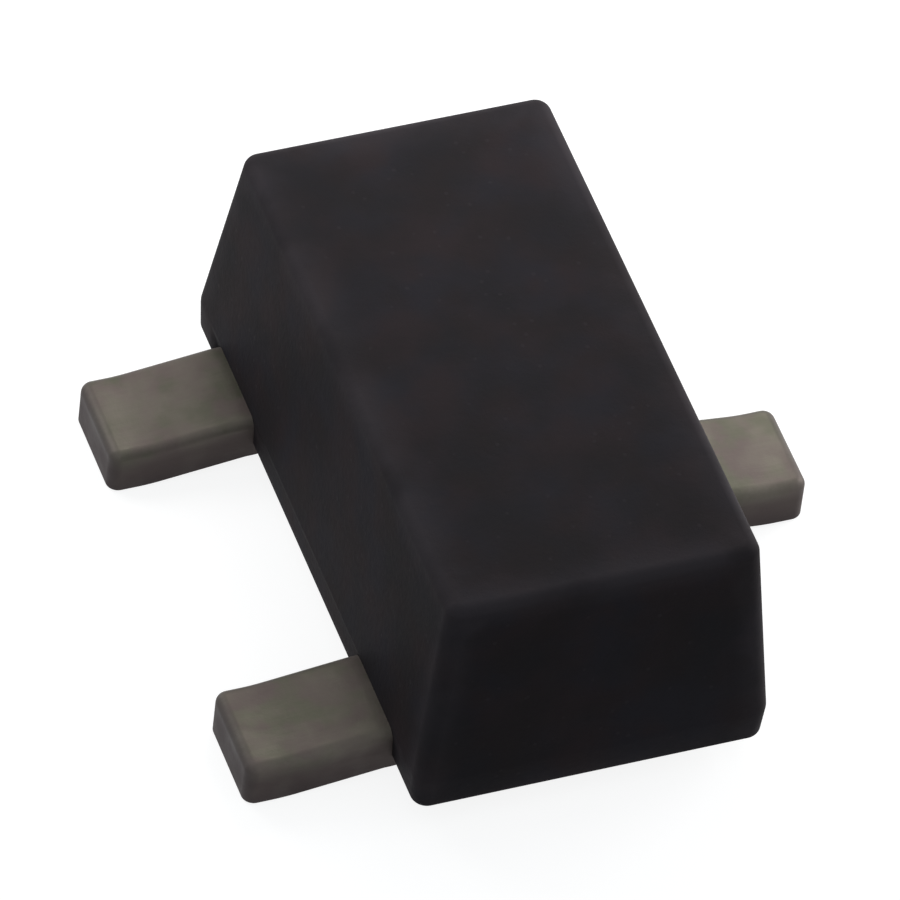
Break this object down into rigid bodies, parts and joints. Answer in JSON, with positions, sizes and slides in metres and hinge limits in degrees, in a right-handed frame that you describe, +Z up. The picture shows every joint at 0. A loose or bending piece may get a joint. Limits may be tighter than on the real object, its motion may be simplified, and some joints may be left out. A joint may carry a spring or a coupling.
{
  "type": "small-outline transistor",
  "caption": "Small-outline surface-mount transistor: drafted black moulded body with flat solder leads on opposite sides, over a lead frame, die and bond wires.",
  "frame": {"origin": "middle of the seating plane, under the feet of the leads", "axes": "+X along the single collector lead, +Y along the long side of the body towards the base lead, +Z up from the board"},
  "size_m": [0.0016, 0.0016, 0.0007],
  "materials": {
    "mould_compound": "matt black epoxy moulding compound with a fine spark-eroded texture",
    "plated_lead": "dull matt tin plating on a stamped copper-alloy lead frame",
    "silicon": "polished silicon with aluminium bond pads",
    "die_attach_solder": "thin conductive die attach layer",
    "gold_wire": "bright drawn gold wire"
  },
  "bodies": {
    "root": {"moulded_body": "mould_compound", "collector_lead": "plated_lead", "base_lead": "plated_lead", "emitter_lead": "plated_lead", "transistor_die": "silicon", "die_attach": "die_attach_solder", "base_bond_wire": "gold_wire", "emitter_bond_wire": "gold_wire"}
  },
  "joints": []
}
